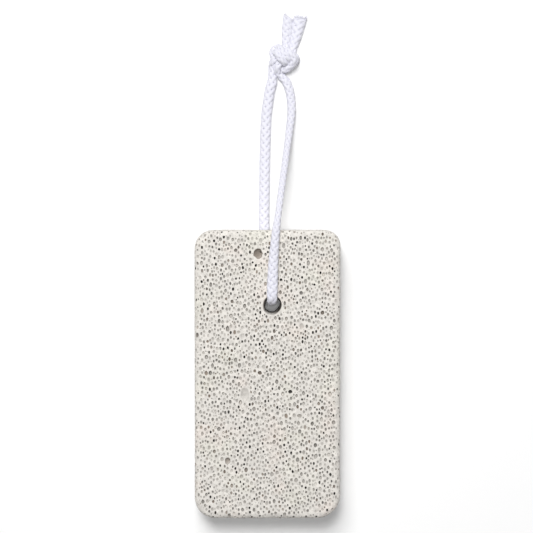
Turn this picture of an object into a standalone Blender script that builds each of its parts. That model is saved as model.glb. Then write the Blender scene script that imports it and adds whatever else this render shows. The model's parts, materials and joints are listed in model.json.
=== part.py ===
"""A rectangular pumice stone with a drilled hole and a knotted hanging cord.

The stone lies on its broad face. The cord passes under the stone, up through the hole, back
over the top face and down to a knot that ties its two ends together. The cord under the stone
lifts that end a little, so the stone leans on its other bottom edge.

Frame: metres, +Z up, +Y along the stone towards the cord, origin under the stone's middle.
"""

import math

import bmesh
import bpy
from mathutils import Matrix, Vector

MM = 0.001
GAP = 0.3 * MM

# Stone, measured in its own frame before it leans on the cord.
STONE_WIDTH = 50.0 * MM
STONE_LENGTH = 99.1 * MM
STONE_THICKNESS = 18.0 * MM
CORNER_TOP_LEFT = 6.4 * MM
CORNER_TOP_RIGHT = 5.2 * MM
CORNER_BOTTOM_LEFT = 7.2 * MM
CORNER_BOTTOM_RIGHT = 8.0 * MM
CORNER_SEGMENTS = 7
EDGE_ROUNDING = 2.0 * MM
EDGE_SEGMENTS = 4

# Drilled hole, with a worn rim at both mouths.
HOLE_X = 1.7 * MM
HOLE_Y = 24.0 * MM
HOLE_DIAMETER = 6.3 * MM
HOLE_RIM = 0.5 * MM
HOLE_SIDES = 40
SEAM_Y = 14.0 * MM

# Cord.
CORD_RADIUS = 1.4 * MM
CORD_PINCHED_THICKNESS = 1.75 * MM
CORD_BEVEL_STEPS = 2
POINTS_PER_SPAN = 2

# The stone turns about its far bottom edge until its underside rests on the pinched cord.
LEAN_ARM = STONE_LENGTH / 2 - EDGE_ROUNDING + HOLE_Y + HOLE_DIAMETER / 2
LEAN_ANGLE = math.atan2(CORD_PINCHED_THICKNESS + GAP, LEAN_ARM)

# Loop of cord from the knot, under the stone, up the hole, over the top and back to the knot.
# Each point is x, y, z and the cord's radius there, in millimetres.
LOOP_ROUTE = (
    (2.5, 104.5, 2.0, 1.40),
    (1.3, 101.3, 1.6, 1.40),
    (0.2, 97.0, 1.42, 1.40),
    (-0.5, 88.0, 1.42, 1.40),
    (-0.9, 76.0, 1.42, 1.40),
    (-1.05, 64.0, 1.42, 1.40),
    (-1.2, 55.0, 1.40, 1.35),
    (-1.0, 48.5, 1.17, 1.12),
    (-0.5, 41.5, 1.00, 0.95),
    (0.7, 34.0, 0.92, 0.87),
    (1.45, 29.8, 0.92, 0.87),
    (1.6, 27.7, 1.02, 0.87),
    (1.6, 26.5, 1.60, 0.90),
    (1.6, 25.85, 3.0, 1.12),
    (1.6, 25.6, 6.0, 1.36),
    (1.6, 25.4, 12.0, 1.40),
    (1.6, 25.2, 17.0, 1.37),
    (1.6, 25.2, 19.3, 1.30),
    (1.6, 25.95, 21.1, 1.30),
    (1.6, 27.5, 21.75, 1.30),
    (1.7, 30.5, 21.8, 1.30),
    (2.0, 38.0, 22.0, 1.30),
    (2.7, 46.8, 22.2, 1.30),
    (3.2, 51.0, 21.9, 1.35),
    (3.9, 56.0, 20.2, 1.40),
    (5.1, 65.0, 15.1, 1.40),
    (6.4, 74.5, 9.2, 1.40),
    (7.6, 83.5, 4.9, 1.40),
    (8.5, 91.5, 2.6, 1.40),
    (8.45, 97.0, 1.9, 1.40),
    (7.5, 101.0, 2.1, 1.40),
    (6.5, 103.9, 2.6, 1.40),
)

TAIL_LEFT_ROUTE = (
    (6.0, 114.0, 2.9, 1.40),
    (6.3, 117.5, 2.3, 1.45),
    (6.9, 121.5, 1.6, 1.50),
    (7.4, 125.4, 1.52, 1.50),
)

TAIL_RIGHT_ROUTE = (
    (9.0, 113.5, 2.9, 1.35),
    (9.6, 117.5, 2.3, 1.40),
    (10.8, 121.0, 1.7, 1.50),
    (11.5, 124.4, 1.52, 1.50),
)

# Knot, as one closed lump of its outer shape.
KNOT_CENTRE = Vector((5.3, 109.1, 3.6)) * MM
KNOT_HALF_SIZE = Vector((5.3, 4.7, 3.5)) * MM
KNOT_SQUARENESS = 0.78
KNOT_RINGS = 14
KNOT_SIDES = 24


def clear_scene():
    for item in list(bpy.data.objects):
        bpy.data.objects.remove(item, do_unlink=True)


def add_material(name, colour, roughness):
    material = bpy.data.materials.new(name)
    material.use_nodes = True
    shader = material.node_tree.nodes["Principled BSDF"]
    shader.inputs["Base Color"].default_value = (*colour, 1.0)
    shader.inputs["Roughness"].default_value = roughness
    shader.inputs["Metallic"].default_value = 0.0
    return material


def add_object(name, data, material=None):
    item = bpy.data.objects.new(name, data)
    bpy.context.scene.collection.objects.link(item)
    if material is not None:
        data.materials.append(material)
    return item


def mesh_from(name, form):
    """Turns a bmesh into a mesh and frees it."""
    bmesh.ops.recalc_face_normals(form, faces=form.faces)
    mesh = bpy.data.meshes.new(name)
    form.to_mesh(mesh)
    form.free()
    return mesh


def corner_arc(corner, inward, radius):
    """Points round one corner of the outline; inward gives the signs that lead to the middle."""
    centre = Vector((corner[0] + inward[0] * radius, corner[1] + inward[1] * radius))
    start = math.atan2(-inward[1], -inward[0]) - math.pi / 4
    points = []
    for step in range(CORNER_SEGMENTS + 1):
        angle = start + math.pi / 2 * step / CORNER_SEGMENTS
        points.append(centre + radius * Vector((math.cos(angle), math.sin(angle))))
    return points


def stone_outline():
    x, y = STONE_WIDTH / 2, STONE_LENGTH / 2
    return (
        corner_arc((x, y), (-1, -1), CORNER_TOP_RIGHT)
        + corner_arc((-x, y), (1, -1), CORNER_TOP_LEFT)
        + corner_arc((-x, -y), (1, 1), CORNER_BOTTOM_LEFT)
        + corner_arc((x, -y), (-1, 1), CORNER_BOTTOM_RIGHT)
    )


def stone_block():
    """The slab with rounded corners and edges, its underside at height zero."""
    form = bmesh.new()
    outline = [form.verts.new((p.x, p.y, 0.0)) for p in stone_outline()]
    underside = form.faces.new(outline)
    extruded = bmesh.ops.extrude_face_region(form, geom=[underside])
    raised = [e for e in extruded["geom"] if isinstance(e, bmesh.types.BMVert)]
    bmesh.ops.translate(form, verts=raised, vec=(0.0, 0.0, STONE_THICKNESS))
    bmesh.ops.recalc_face_normals(form, faces=form.faces)
    rims = [e for e in form.edges if abs(e.verts[0].co.z - e.verts[1].co.z) < GAP]
    bmesh.ops.bevel(
        form,
        geom=rims,
        offset=EDGE_ROUNDING,
        segments=EDGE_SEGMENTS,
        profile=0.5,
        affect="EDGES",
        clamp_overlap=True,
    )
    everything = form.verts[:] + form.edges[:] + form.faces[:]
    bmesh.ops.bisect_plane(
        form, geom=everything, dist=0.001 * MM, plane_co=(0.0, SEAM_Y, 0.0), plane_no=(0.0, 1.0, 0.0)
    )
    return form


def hole_cutter():
    """A drill-shaped cutter: straight inside the stone and flared at both worn mouths."""
    radius = HOLE_DIAMETER / 2
    flare = radius + HOLE_RIM
    beyond = 2.0 * MM
    profile = (
        (flare + beyond, -beyond),
        (radius, HOLE_RIM),
        (radius, STONE_THICKNESS - HOLE_RIM),
        (flare + beyond, STONE_THICKNESS + beyond),
    )
    form = bmesh.new()
    rings = []
    for ring_radius, height in profile:
        ring = []
        for side in range(HOLE_SIDES):
            angle = 2 * math.pi * side / HOLE_SIDES
            x = HOLE_X + ring_radius * math.cos(angle)
            y = HOLE_Y + ring_radius * math.sin(angle)
            ring.append(form.verts.new((x, y, height)))
        rings.append(ring)
    for lower, upper in zip(rings, rings[1:]):
        for side in range(HOLE_SIDES):
            after = (side + 1) % HOLE_SIDES
            form.faces.new((lower[side], lower[after], upper[after], upper[side]))
    form.faces.new(list(reversed(rings[0])))
    form.faces.new(rings[-1])
    cutter = add_object("hole_cutter", mesh_from("hole_cutter", form))
    cutter.hide_render = True
    cutter.display_type = "WIRE"
    return cutter


def lean_on_cord(item):
    """Turns the stone by the lean and puts the middle of its lowest level at the origin."""
    turn = Matrix.Rotation(LEAN_ANGLE, 4, "X")
    corners = [turn @ vertex.co for vertex in item.data.vertices]
    lowest = min(corner.z for corner in corners)
    middle = (min(corner.y for corner in corners) + max(corner.y for corner in corners)) / 2
    item.rotation_euler.x = LEAN_ANGLE
    item.location = (0.0, -middle, -lowest)


def build_stone():
    pumice = add_material("pumice", (0.64, 0.60, 0.55), 0.95)
    stone = add_object("stone", mesh_from("stone", stone_block()), pumice)
    cutter = hole_cutter()
    cutter.parent = stone
    drill = stone.modifiers.new("drilled hole", "BOOLEAN")
    drill.operation = "DIFFERENCE"
    drill.solver = "EXACT"
    drill.object = cutter
    lean_on_cord(stone)


def between(a, b, c, d, t):
    """Catmull-Rom value between b and c."""
    return 0.5 * (
        2 * b + (c - a) * t + (2 * a - 5 * b + 4 * c - d) * t**2 + (3 * b - a - 3 * c + d) * t**3
    )


def smooth_route(route):
    """Points on a smooth curve through the route: x, y, z and radius, in metres."""
    ends = (Vector(route[0]), *(Vector(point) for point in route), Vector(route[-1]))
    points = []
    for a, b, c, d in zip(ends, ends[1:], ends[2:], ends[3:]):
        for step in range(POINTS_PER_SPAN):
            points.append(between(a, b, c, d, step / POINTS_PER_SPAN) * MM)
    points.append(ends[-1] * MM)
    return points


def build_cord_tube(name, route, braid):
    curve = bpy.data.curves.new(name, "CURVE")
    curve.dimensions = "3D"
    curve.bevel_depth = CORD_RADIUS
    curve.bevel_resolution = CORD_BEVEL_STEPS
    curve.render_resolution_u = 0
    curve.use_fill_caps = True
    points = smooth_route(route)
    spline = curve.splines.new("POLY")
    spline.points.add(len(points) - 1)
    for target, point in zip(spline.points, points):
        target.co = (point[0], point[1], point[2], 1.0)
        target.radius = point[3] / CORD_RADIUS
    add_object(name, curve, braid)


def squared(value):
    """Pushes a sine or cosine outwards, which squares up a round section."""
    return math.copysign(abs(value) ** KNOT_SQUARENESS, value)


def knot_point(ring, side):
    rise = math.pi * ring / KNOT_RINGS - math.pi / 2
    turn = 2 * math.pi * side / KNOT_SIDES
    x = squared(math.cos(turn)) * squared(math.cos(rise))
    y = squared(math.sin(turn)) * squared(math.cos(rise))
    z = math.sin(rise)
    return KNOT_CENTRE + Vector((x, y, z)) * KNOT_HALF_SIZE


def build_knot(braid):
    form = bmesh.new()
    bottom = form.verts.new(KNOT_CENTRE - Vector((0.0, 0.0, KNOT_HALF_SIZE.z)))
    top = form.verts.new(KNOT_CENTRE + Vector((0.0, 0.0, KNOT_HALF_SIZE.z)))
    rings = []
    for ring in range(1, KNOT_RINGS):
        rings.append([form.verts.new(knot_point(ring, side)) for side in range(KNOT_SIDES)])
    for side in range(KNOT_SIDES):
        after = (side + 1) % KNOT_SIDES
        form.faces.new((bottom, rings[0][after], rings[0][side]))
        form.faces.new((top, rings[-1][side], rings[-1][after]))
        for lower, upper in zip(rings, rings[1:]):
            form.faces.new((lower[side], lower[after], upper[after], upper[side]))
    knot = add_object("cord_knot", mesh_from("cord_knot", form), braid)
    knot.data.shade_smooth()


def build_cord():
    braid = add_material("cord_braid", (0.84, 0.84, 0.88), 0.8)
    build_cord_tube("cord_loop", LOOP_ROUTE, braid)
    build_cord_tube("cord_tail_left", TAIL_LEFT_ROUTE, braid)
    build_cord_tube("cord_tail_right", TAIL_RIGHT_ROUTE, braid)
    build_knot(braid)


def main():
    clear_scene()
    build_stone()
    build_cord()


main()
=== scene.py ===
import json
from math import atan, atan2, copysign, cos, hypot, pi, radians, sin, sqrt

import bpy
import numpy as np
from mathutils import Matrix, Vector
from mathutils.geometry import delaunay_2d_cdt


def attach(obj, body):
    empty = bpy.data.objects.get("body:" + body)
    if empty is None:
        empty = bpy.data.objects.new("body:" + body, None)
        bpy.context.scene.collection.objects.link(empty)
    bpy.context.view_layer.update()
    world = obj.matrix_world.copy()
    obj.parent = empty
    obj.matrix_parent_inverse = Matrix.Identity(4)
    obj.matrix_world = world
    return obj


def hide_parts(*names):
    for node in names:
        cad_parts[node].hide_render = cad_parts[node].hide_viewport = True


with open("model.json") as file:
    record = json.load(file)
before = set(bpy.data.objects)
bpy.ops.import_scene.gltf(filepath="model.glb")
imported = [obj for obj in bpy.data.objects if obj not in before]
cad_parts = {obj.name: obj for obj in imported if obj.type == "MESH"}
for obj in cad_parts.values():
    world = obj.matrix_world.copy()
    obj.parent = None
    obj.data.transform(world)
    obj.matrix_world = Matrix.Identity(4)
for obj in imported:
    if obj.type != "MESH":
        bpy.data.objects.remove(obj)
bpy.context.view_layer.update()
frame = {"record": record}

# Lengths are in millimetres. An angle is in radians unless its name ends in DEG.
MM = 0.001
TURN = 2 * pi

# ======== the view
VIEW_X = -0.308
VIEW_Y = 36.8
VIEW_WIDTH = 182.3
VIEW_PLANE_Z = 19.0
VIEW_DISTANCE = 600.0
SENSOR_WIDTH = 36.0

# ======== the stone
STONE_WIDTH = 50.0
STONE_LENGTH = 99.1
CORNER_TOP_LEFT = 6.4
CORNER_TOP_RIGHT = 5.2
CORNER_BOTTOM_LEFT = 7.2
CORNER_BOTTOM_RIGHT = 8.0
EDGE_ROUNDING = 2.0
MOUNT_Y = -18.0
HOLE_X = 1.7
HOLE_Y = 24.0
HOLE_RADIUS = 3.15

# ======== the cord
# from the knot, under the stone, up the hole, over the top face and back to the knot
LOOP_ROUTE = (
    (2.5, 104.5, 2.0), (1.3, 101.3, 1.6), (0.2, 97.0, 1.42), (-0.5, 88.0, 1.42),
    (-0.9, 76.0, 1.42), (-1.05, 64.0, 1.42), (-1.2, 55.0, 1.4), (-1.0, 48.5, 1.17),
    (-0.5, 41.5, 1.00), (0.7, 34.0, 0.92), (1.45, 29.8, 0.92), (1.6, 27.7, 1.02),
    (1.6, 26.5, 1.6), (1.6, 25.85, 3.0), (1.6, 25.6, 6.0), (1.6, 25.3, 12.0),
    (1.6, 24.85, 17.0), (1.6, 24.7, 19.2), (1.6, 25.45, 20.95), (1.6, 27.2, 21.65),
    (1.7, 30.5, 21.8), (2.0, 38.0, 22.0), (2.7, 46.8, 22.2), (3.2, 51.0, 21.9),
    (3.9, 56.0, 20.2), (5.1, 65.0, 15.1), (6.4, 74.5, 9.2), (7.6, 83.5, 4.9),
    (8.5, 91.5, 2.6), (8.45, 97.0, 1.9), (7.5, 101.0, 2.1), (6.5, 103.9, 2.6),
)
# the loop is followed up to here, and the two legs lead on into the knot
LEGS_FROM_Y = 90.5
FRONT_LEG = ((8.5, 91.0, 2.65), (8.35, 95.0, 2.1), (7.9, 98.5, 1.8), (6.9, 101.5, 1.7))
BACK_LEG = ((-0.3, 91.0, 1.42), (0.3, 95.0, 1.42), (0.8, 98.5, 1.45), (1.6, 101.5, 1.5))
LEFT_TAIL = ((6.5, 118.5, 2.2), (7.5, 125.5, 1.5))
RIGHT_TAIL = ((10.2, 118.5, 2.2), (11.6, 124.5, 1.52))
HOLE_MIDDLE = (1.6, 25.4, 12.0)
CORD_STEP = 0.25
CORD_SMOOTHINGS = 6


# ======== helpers
def new_object(name, vertices, faces, smooth=True):
    mesh = bpy.data.meshes.new(name)
    mesh.from_pydata([tuple(v) for v in (np.asarray(vertices) * MM).tolist()], [], faces)
    if smooth:
        mesh.polygons.foreach_set("use_smooth", [True] * len(mesh.polygons))
    mesh.update()
    piece = bpy.data.objects.new(name, mesh)
    bpy.context.scene.collection.objects.link(piece)
    return piece


def unit(vectors):
    length = np.linalg.norm(vectors, axis=-1, keepdims=True)
    return vectors / np.maximum(length, 1e-9)


def arc(path):
    """Length along a line at each of its points."""
    return np.concatenate([[0.0], np.cumsum(np.linalg.norm(np.diff(path, axis=0), axis=1))])


def look_up(x, pairs):
    """A value read off a table of (x, value) pairs."""
    known, values = zip(*pairs)
    return np.interp(x, known, values)


def resample(points, count):
    """The same line with evenly spaced points."""
    along = arc(points)
    even = np.linspace(0.0, along[-1], count)
    return np.stack([np.interp(even, along, points[:, k]) for k in range(points.shape[1])], 1)


def smooth_line(points, per_span):
    """A Catmull-Rom curve through the points."""
    points = np.asarray(points, float)
    padded = np.vstack([points[:1], points, points[-1:]])
    out = []
    for i in range(len(points) - 1):
        a, b, c, d = padded[i:i + 4]
        for t in np.arange(per_span) / per_span:
            out.append(
                0.5 * (2 * b + (c - a) * t + (2 * a - 5 * b + 4 * c - d) * t ** 2
                       + (3 * b - a - 3 * c + d) * t ** 3)
            )
    out.append(points[-1])
    return np.array(out)


def angle_off(turn, toward_deg):
    """How far each angle is from a direction, from 0 to pi."""
    return np.abs(np.mod(turn - radians(toward_deg) + pi, TURN) - pi)


# ======== the knot
KNOT_CENTRE = (5.3, 109.1, 9.0)
KNOT_ROLL_DEG = 120.0
KNOT_SCALE = 1.9
KNOT_LIFT = 1.6
KNOT_OPENING = 0.1
KNOT_SPACING = 2.0
KNOT_CONTACT = 2.1
KNOT_NEIGHBOURS = 1.5
KNOT_FLOOR = 1.2
KNOT_SINK = 0.03
KNOT_STEPS = 340
KNOT_PASSES = 3
KNOT_EVEN_EVERY = 4
KNOT_PULL = 0.275
KNOT_PUSH = 0.8
KNOT_POINTS = 100
KNOT_SQUEEZE = (0.88, 0.85, 0.95)
KNOT_SQUEEZE_REACH = 5.0
KNOT_SQUEEZE_FADE = 4.0


def trefoil(t):
    return np.stack([np.sin(t) + 2 * np.sin(2 * t), np.cos(t) - 2 * np.cos(2 * t)], 1)


def knot_start(side, low_end, high_end):
    """One strand of an open overhand knot, a trefoil cut at its outermost point."""
    t = np.linspace(0.0, TURN, 400, endpoint=False)
    outermost = t[int(np.argmax(np.hypot(*trefoil(t).T)))]
    t = outermost + np.linspace(KNOT_OPENING, TURN - KNOT_OPENING, 300)
    flat = trefoil(t)
    height = np.sin(3 * t) * KNOT_LIFT * KNOT_SCALE
    way = flat[1] - flat[0]
    turn = pi / 2 - atan2(way[1], way[0])
    c, s = cos(turn), sin(turn)
    flat = flat @ np.array([[c, s], [-s, c]])
    flat = (flat - flat.mean(0)) * KNOT_SCALE
    along = unit(np.gradient(flat, axis=0))
    flat = flat + np.stack([-along[:, 1], along[:, 0]], 1) * side * KNOT_SPACING / 2
    c, s = cos(radians(KNOT_ROLL_DEG)), sin(radians(KNOT_ROLL_DEG))
    rolled = np.stack([flat[:, 0] * c + height * s, flat[:, 1], -flat[:, 0] * s + height * c], 1)
    return np.vstack([low_end, rolled + np.array(KNOT_CENTRE), high_end])


def push_apart(points, neighbours):
    """Parts points of the strands that press into each other, and keeps them off the floor."""
    for _ in range(KNOT_PASSES):
        apart = points[:, None] - points[None]
        distance = np.sqrt((apart ** 2).sum(2))
        touching = (distance < KNOT_CONTACT) & ~neighbours
        push = np.where(touching, (KNOT_CONTACT - distance) / np.maximum(distance, 1e-6) * 0.5, 0.0)
        count = np.sqrt(np.maximum(touching.sum(1), 1))[:, None]
        points = points + KNOT_PUSH * (push[:, :, None] * apart).sum(1) / count
        points[:, 2] = np.maximum(points[:, 2], KNOT_FLOOR)
    return points


def tighten(strands):
    """Pulls the strands short while they push each other apart and sink to the floor."""
    strands = [resample(s, KNOT_POINTS) for s in strands]
    ids = np.repeat(np.arange(len(strands)), KNOT_POINTS)
    place = np.tile(np.arange(KNOT_POINTS), len(strands))
    same = ids[:, None] == ids[None]
    held = [(s[0].copy(), s[-1].copy()) for s in strands]
    for step in range(KNOT_STEPS):
        spacing = np.array([np.linalg.norm(np.diff(s, axis=0), axis=1).mean() for s in strands])
        for s in strands:
            s[1:-1] += KNOT_PULL * (s[:-2] + s[2:] - 2 * s[1:-1])
            s[1:-1, 2] -= KNOT_SINK
        between = np.abs(place[:, None] - place[None]) * spacing[ids][:, None]
        points = push_apart(np.vstack(strands), same & (between < KNOT_NEIGHBOURS * KNOT_CONTACT))
        for k in range(len(strands)):
            strands[k] = points[k * KNOT_POINTS:(k + 1) * KNOT_POINTS].copy()
            strands[k][0], strands[k][-1] = held[k]
            if step % KNOT_EVEN_EVERY == KNOT_EVEN_EVERY - 1:
                strands[k] = resample(strands[k], KNOT_POINTS)
    return strands


def squeeze_knot(path):
    """Draws the knot together about its middle."""
    middle = np.array((KNOT_CENTRE[0], KNOT_CENTRE[1], 0.0))
    off = np.abs(path[:, 1] - middle[1])
    weight = np.clip(1 - (off - KNOT_SQUEEZE_REACH) / KNOT_SQUEEZE_FADE, 0, 1)[:, None]
    weight = weight * weight * (3 - 2 * weight)
    squeezed = middle + (path - middle) * np.array(KNOT_SQUEEZE)
    squeezed[:, 2] = np.maximum(squeezed[:, 2], KNOT_FLOOR)
    return path + (squeezed - path) * weight


# ======== the cord
def cord_centreline():
    """The whole cord: left tail, knot, front strand, hole, back strand, knot, right tail."""
    loop = smooth_line(LOOP_ROUTE, 6)
    front, back = smooth_line(FRONT_LEG, 8), smooth_line(BACK_LEG, 8)
    to_left = knot_start(1, front[-1:], np.array(LEFT_TAIL))
    to_right = knot_start(-1, back[-1:], np.array(RIGHT_TAIL))
    to_left, to_right = tighten([to_left, to_right])
    rest = loop[loop[:, 1] < LEGS_FROM_Y]
    path = np.vstack([to_left[::-1], front[-2::-1], rest[::-1], back[:-1], to_right])
    path = squeeze_knot(path)
    count = int(arc(path)[-1] / CORD_STEP)
    path = resample(path, count)
    for _ in range(CORD_SMOOTHINGS):
        path[1:-1] += 0.25 * (path[:-2] + path[2:] - 2 * path[1:-1])
    return resample(path, count)


# half the cord's width or height by y: it is soft, and flattens
FRONT_WIDE = (
    (24, 1.6), (26.5, 1.9), (30, 1.95), (41, 1.72), (46, 1.52), (50, 1.44), (54, 1.2),
    (80, 1.28), (92, 1.55), (98, 1.62), (102, 1.7), (104, 1.5), (107, 1.36),
)
BACK_WIDE = ((24, 1.6), (30, 1.8), (50, 1.95), (80, 1.95), (102, 1.9), (104, 1.6), (107, 1.36))
UNDER_STONE_TALL = ((27, 0.98), (34, 0.98), (41.5, 1.05), (48.5, 1.2), (55, 1.25))
LEFT_TAIL_WIDE = ((113, 1.36), (116, 1.8), (119, 1.98), (126, 1.95))
RIGHT_TAIL_WIDE = ((113, 1.36), (116, 1.8), (119, 2.15), (122, 2.45), (126, 2.5))
TAIL_TALL = ((113, 1.28), (116, 1.3), (126, 1.35))
TAILS_FROM_Y = 113.0
WIDE_BY_TALL = 2.1
LEAST_TALL = 1.05
MOST_TALL = 1.42
UNDER_STONE_Y = 50.0
UNDER_STONE_Z = 1.6
EVENING = 9


def half_sizes(path):
    """Half the cord's width and height along the route."""
    y = path[:, 1]
    front = np.arange(len(path)) < hole_index(path)
    wide = np.where(front, look_up(y, FRONT_WIDE), look_up(y, BACK_WIDE))
    tall = np.clip(WIDE_BY_TALL / wide, LEAST_TALL, MOST_TALL)
    under = ~front & (y < UNDER_STONE_Y) & (path[:, 2] < UNDER_STONE_Z)
    tall = np.where(under, look_up(y, UNDER_STONE_TALL), tall)
    tail_wide = np.where(front, look_up(y, LEFT_TAIL_WIDE), look_up(y, RIGHT_TAIL_WIDE))
    wide = np.where(y > TAILS_FROM_Y, tail_wide, wide)
    tall = np.where(y > TAILS_FROM_Y, look_up(y, TAIL_TALL), tall)
    even = np.ones(EVENING) / EVENING
    for _ in range(2):
        wide = np.convolve(np.pad(wide, EVENING // 2, mode="edge"), even, "valid")
        tall = np.convolve(np.pad(tall, EVENING // 2, mode="edge"), even, "valid")
    return wide, tall


def hole_index(path):
    """The point of the route half way through the stone."""
    return int(np.argmin(np.linalg.norm(path - np.array(HOLE_MIDDLE), axis=1)))


TAIL_TWIST_START = 70.0
TAIL_TWIST_END = 12.0


def carried_across(ahead, start):
    """A sideways direction at each point, carried both ways from one point without twist."""
    across = np.zeros_like(ahead)
    across[start] = unit(np.array((1.0, 0.0, 0.0)) - ahead[start] * ahead[start][0])
    for way in (1, -1):
        i = start
        while 0 <= i + way < len(ahead):
            v = across[i] - ahead[i + way] * float(across[i] @ ahead[i + way])
            across[i + way] = v / np.linalg.norm(v)
            i += way
    return across


def cord_frames(path):
    """Directions along, across and up at each point, turned so that both tails lie flat."""
    ahead = unit(np.gradient(path, axis=0))
    across = carried_across(ahead, hole_index(path))
    along = arc(path)
    for end in (0, -1):
        level = unit(np.cross((0.0, 0.0, 1.0), ahead[end]))
        lifted = float(np.cross(across[end], level) @ ahead[end])
        turn = atan2(lifted, float(across[end] @ level))
        turn = (turn + pi / 2) % pi - pi / 2
        from_end = along if end == 0 else along[-1] - along
        share = np.clip((TAIL_TWIST_START - from_end) / (TAIL_TWIST_START - TAIL_TWIST_END), 0, 1)
        c, n = np.cos(turn * share)[:, None], np.sin(turn * share)[:, None]
        across = across * c + np.cross(ahead, across) * n
    return ahead, across, np.cross(across, ahead)


LEFT_CUT = 1.7
RIGHT_CUT = 0.6
LEFT_CUT_TURN = 0.3
LEFT_CUT_LEAST = 0.06
CUT_REACH = 7.0


class CordSurface:
    """Places points on the cord by their length along it and their angle round it."""

    def __init__(self, path):
        self.path = path
        self.along = arc(path)
        self.length = self.along[-1]
        self.ahead, self.across, self.up = cord_frames(path)
        self.wide, self.tall = half_sizes(path)
        self.left_hand = copysign(1.0, self.across[0][0])
        self.right_hand = copysign(1.0, self.across[-1][0])

    def pick(self, table, s):
        if table.ndim == 1:
            return np.interp(s, self.along, table)
        return np.stack([np.interp(s, self.along, table[:, k]) for k in range(3)], -1)

    def cut(self, s, angle):
        """Draws the lengths near the tips back to the cuts, both oblique."""
        facing = 0.5 * (1 + self.left_hand * np.sin(angle + LEFT_CUT_TURN))
        left = LEFT_CUT * (LEFT_CUT_LEAST + facing)
        right = RIGHT_CUT * (0.5 * (1 - self.right_hand * np.sin(angle)))
        s = s + left * np.clip(1 - s / CUT_REACH, 0, 1)
        return s - right * np.clip(1 - (self.length - s) / CUT_REACH, 0, 1)

    def place(self, s, angle, inset):
        s = self.cut(s, angle)
        across = self.pick(self.across, s) * ((self.pick(self.wide, s) - inset) * np.sin(angle))[..., None]
        up = self.pick(self.up, s) * ((self.pick(self.tall, s) - inset) * np.cos(angle))[..., None]
        return self.pick(self.path, s) + across + up


BRAID_LAY = 10.2
BRAID_BUNDLES = 4
BRAID_RADIUS = 1.4
BUNDLE_WIDTH = 1.5
BUNDLE_THICKNESS = 0.5
BUNDLE_STEP = 0.42
BUNDLE_SIDES = 8
SQUARED_ACROSS = 0.7
SQUARED_THICK = 0.65
CROSSING_LIFT = 0.09
CORE_INSET = 0.555
CORE_RISE = 0.26
CORE_STEP = 0.8
CORE_SIDES = 10
CORE_MARK = -5.0
CORE_BELOW = -2.0
END_MARGIN = 0.15
# how far the core fills the gaps between the bundles, by distance from the nearer tip
CORE_FLUFF = ((12.0, 1.0), (18.0, 0.55), (50.0, 0.55), (60.0, 0.62))


def braid_bundle(surface, hand, number, ends):
    """One flat bundle of filaments on its way round the cord, and its marks along and across."""
    slope = atan(TURN * BRAID_RADIUS / BRAID_LAY)
    s = np.linspace(*ends, int((ends[1] - ends[0]) / BUNDLE_STEP))
    angle = hand * TURN * s / BRAID_LAY + number * pi / 2 + pi / 8
    lift = hand * CROSSING_LIFT * np.cos(8 * pi * s / BRAID_LAY)
    rows, marks = [], []
    for k in range(BUNDLE_SIDES):
        corner = TURN * k / BUNDLE_SIDES
        across, thick = cos(corner), -sin(corner)
        p = copysign(abs(across) ** SQUARED_ACROSS, across) * BUNDLE_WIDTH / 2
        thick = copysign(abs(thick) ** SQUARED_THICK, thick)
        here = np.clip(s - hand * p * sin(slope), 0.0, surface.length)
        turn = angle + p * cos(slope) / BRAID_RADIUS
        depth = CROSSING_LIFT + BUNDLE_THICKNESS / 2 - lift - thick * BUNDLE_THICKNESS / 2
        rows.append(surface.place(here, turn, depth))
        marks.append(np.stack([s, np.full_like(s, p)], 1))
    return np.stack(rows, 1), np.stack(marks, 1)


def braid_core(surface):
    """The soft filling inside the bundles. Its marks say how far it fills the gaps, and so how dark its
    painted shadow is.
    """
    s = np.linspace(END_MARGIN, surface.length - END_MARGIN, int(surface.length / CORE_STEP))
    fluffed = look_up(np.minimum(s, surface.length - s), CORE_FLUFF)
    inset = CORE_INSET - CORE_RISE * fluffed
    angles = np.arange(CORE_SIDES) * TURN / CORE_SIDES
    rings = np.stack([surface.place(s, np.full_like(s, a), inset) for a in angles], 1)
    marks = np.stack([np.repeat(fluffed[:, None], CORE_SIDES, 1), np.full(rings.shape[:2], CORE_MARK)], -1)
    return rings, marks


LEFT_FILAMENTS = 26
RIGHT_FILAMENTS = 90
LEFT_REACH = 0.9
RIGHT_REACH = 1.3
FILAMENT_RADIUS = 0.055
FILAMENT_SIDES = 5
FILAMENT_ROOT = 1.2
FILAMENT_NECK = 0.1


def loose_filament(surface, tip, random):
    """A thin thread standing out of a cut end."""
    turn = random.uniform(0, TURN)
    inset = random.uniform(0.1, 1.2)
    reach = random.uniform(0.3, LEFT_REACH if tip == 0 else RIGHT_REACH)
    spread = random.uniform(-0.5, 0.5)
    end, inward = (0.0, 1.0) if tip == 0 else (surface.length, -1.0)
    root = surface.place(np.array([end + inward * FILAMENT_ROOT]), np.array([turn]), inset)[0]
    neck_turn = np.array([turn + 0.25 * spread])
    neck = surface.place(np.array([end + inward * FILAMENT_NECK]), neck_turn, inset * 0.9)[0]
    ahead, side = -inward * surface.ahead[-tip], surface.across[-tip]
    top = neck + ahead * reach + side * spread * reach + np.array((0, 0, random.uniform(-0.2, 0.3)))
    line = smooth_line((root, neck, top), 3)
    wide = unit(np.cross(line[-1] - line[0], (0.0, 0.0, 1.0)))
    high = unit(np.cross(line[-1] - line[0], wide))
    angles = np.arange(FILAMENT_SIDES) * TURN / FILAMENT_SIDES
    ring = [line + FILAMENT_RADIUS * (cos(a) * wide + sin(a) * high) for a in angles]
    return np.stack(ring, 1)


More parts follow.
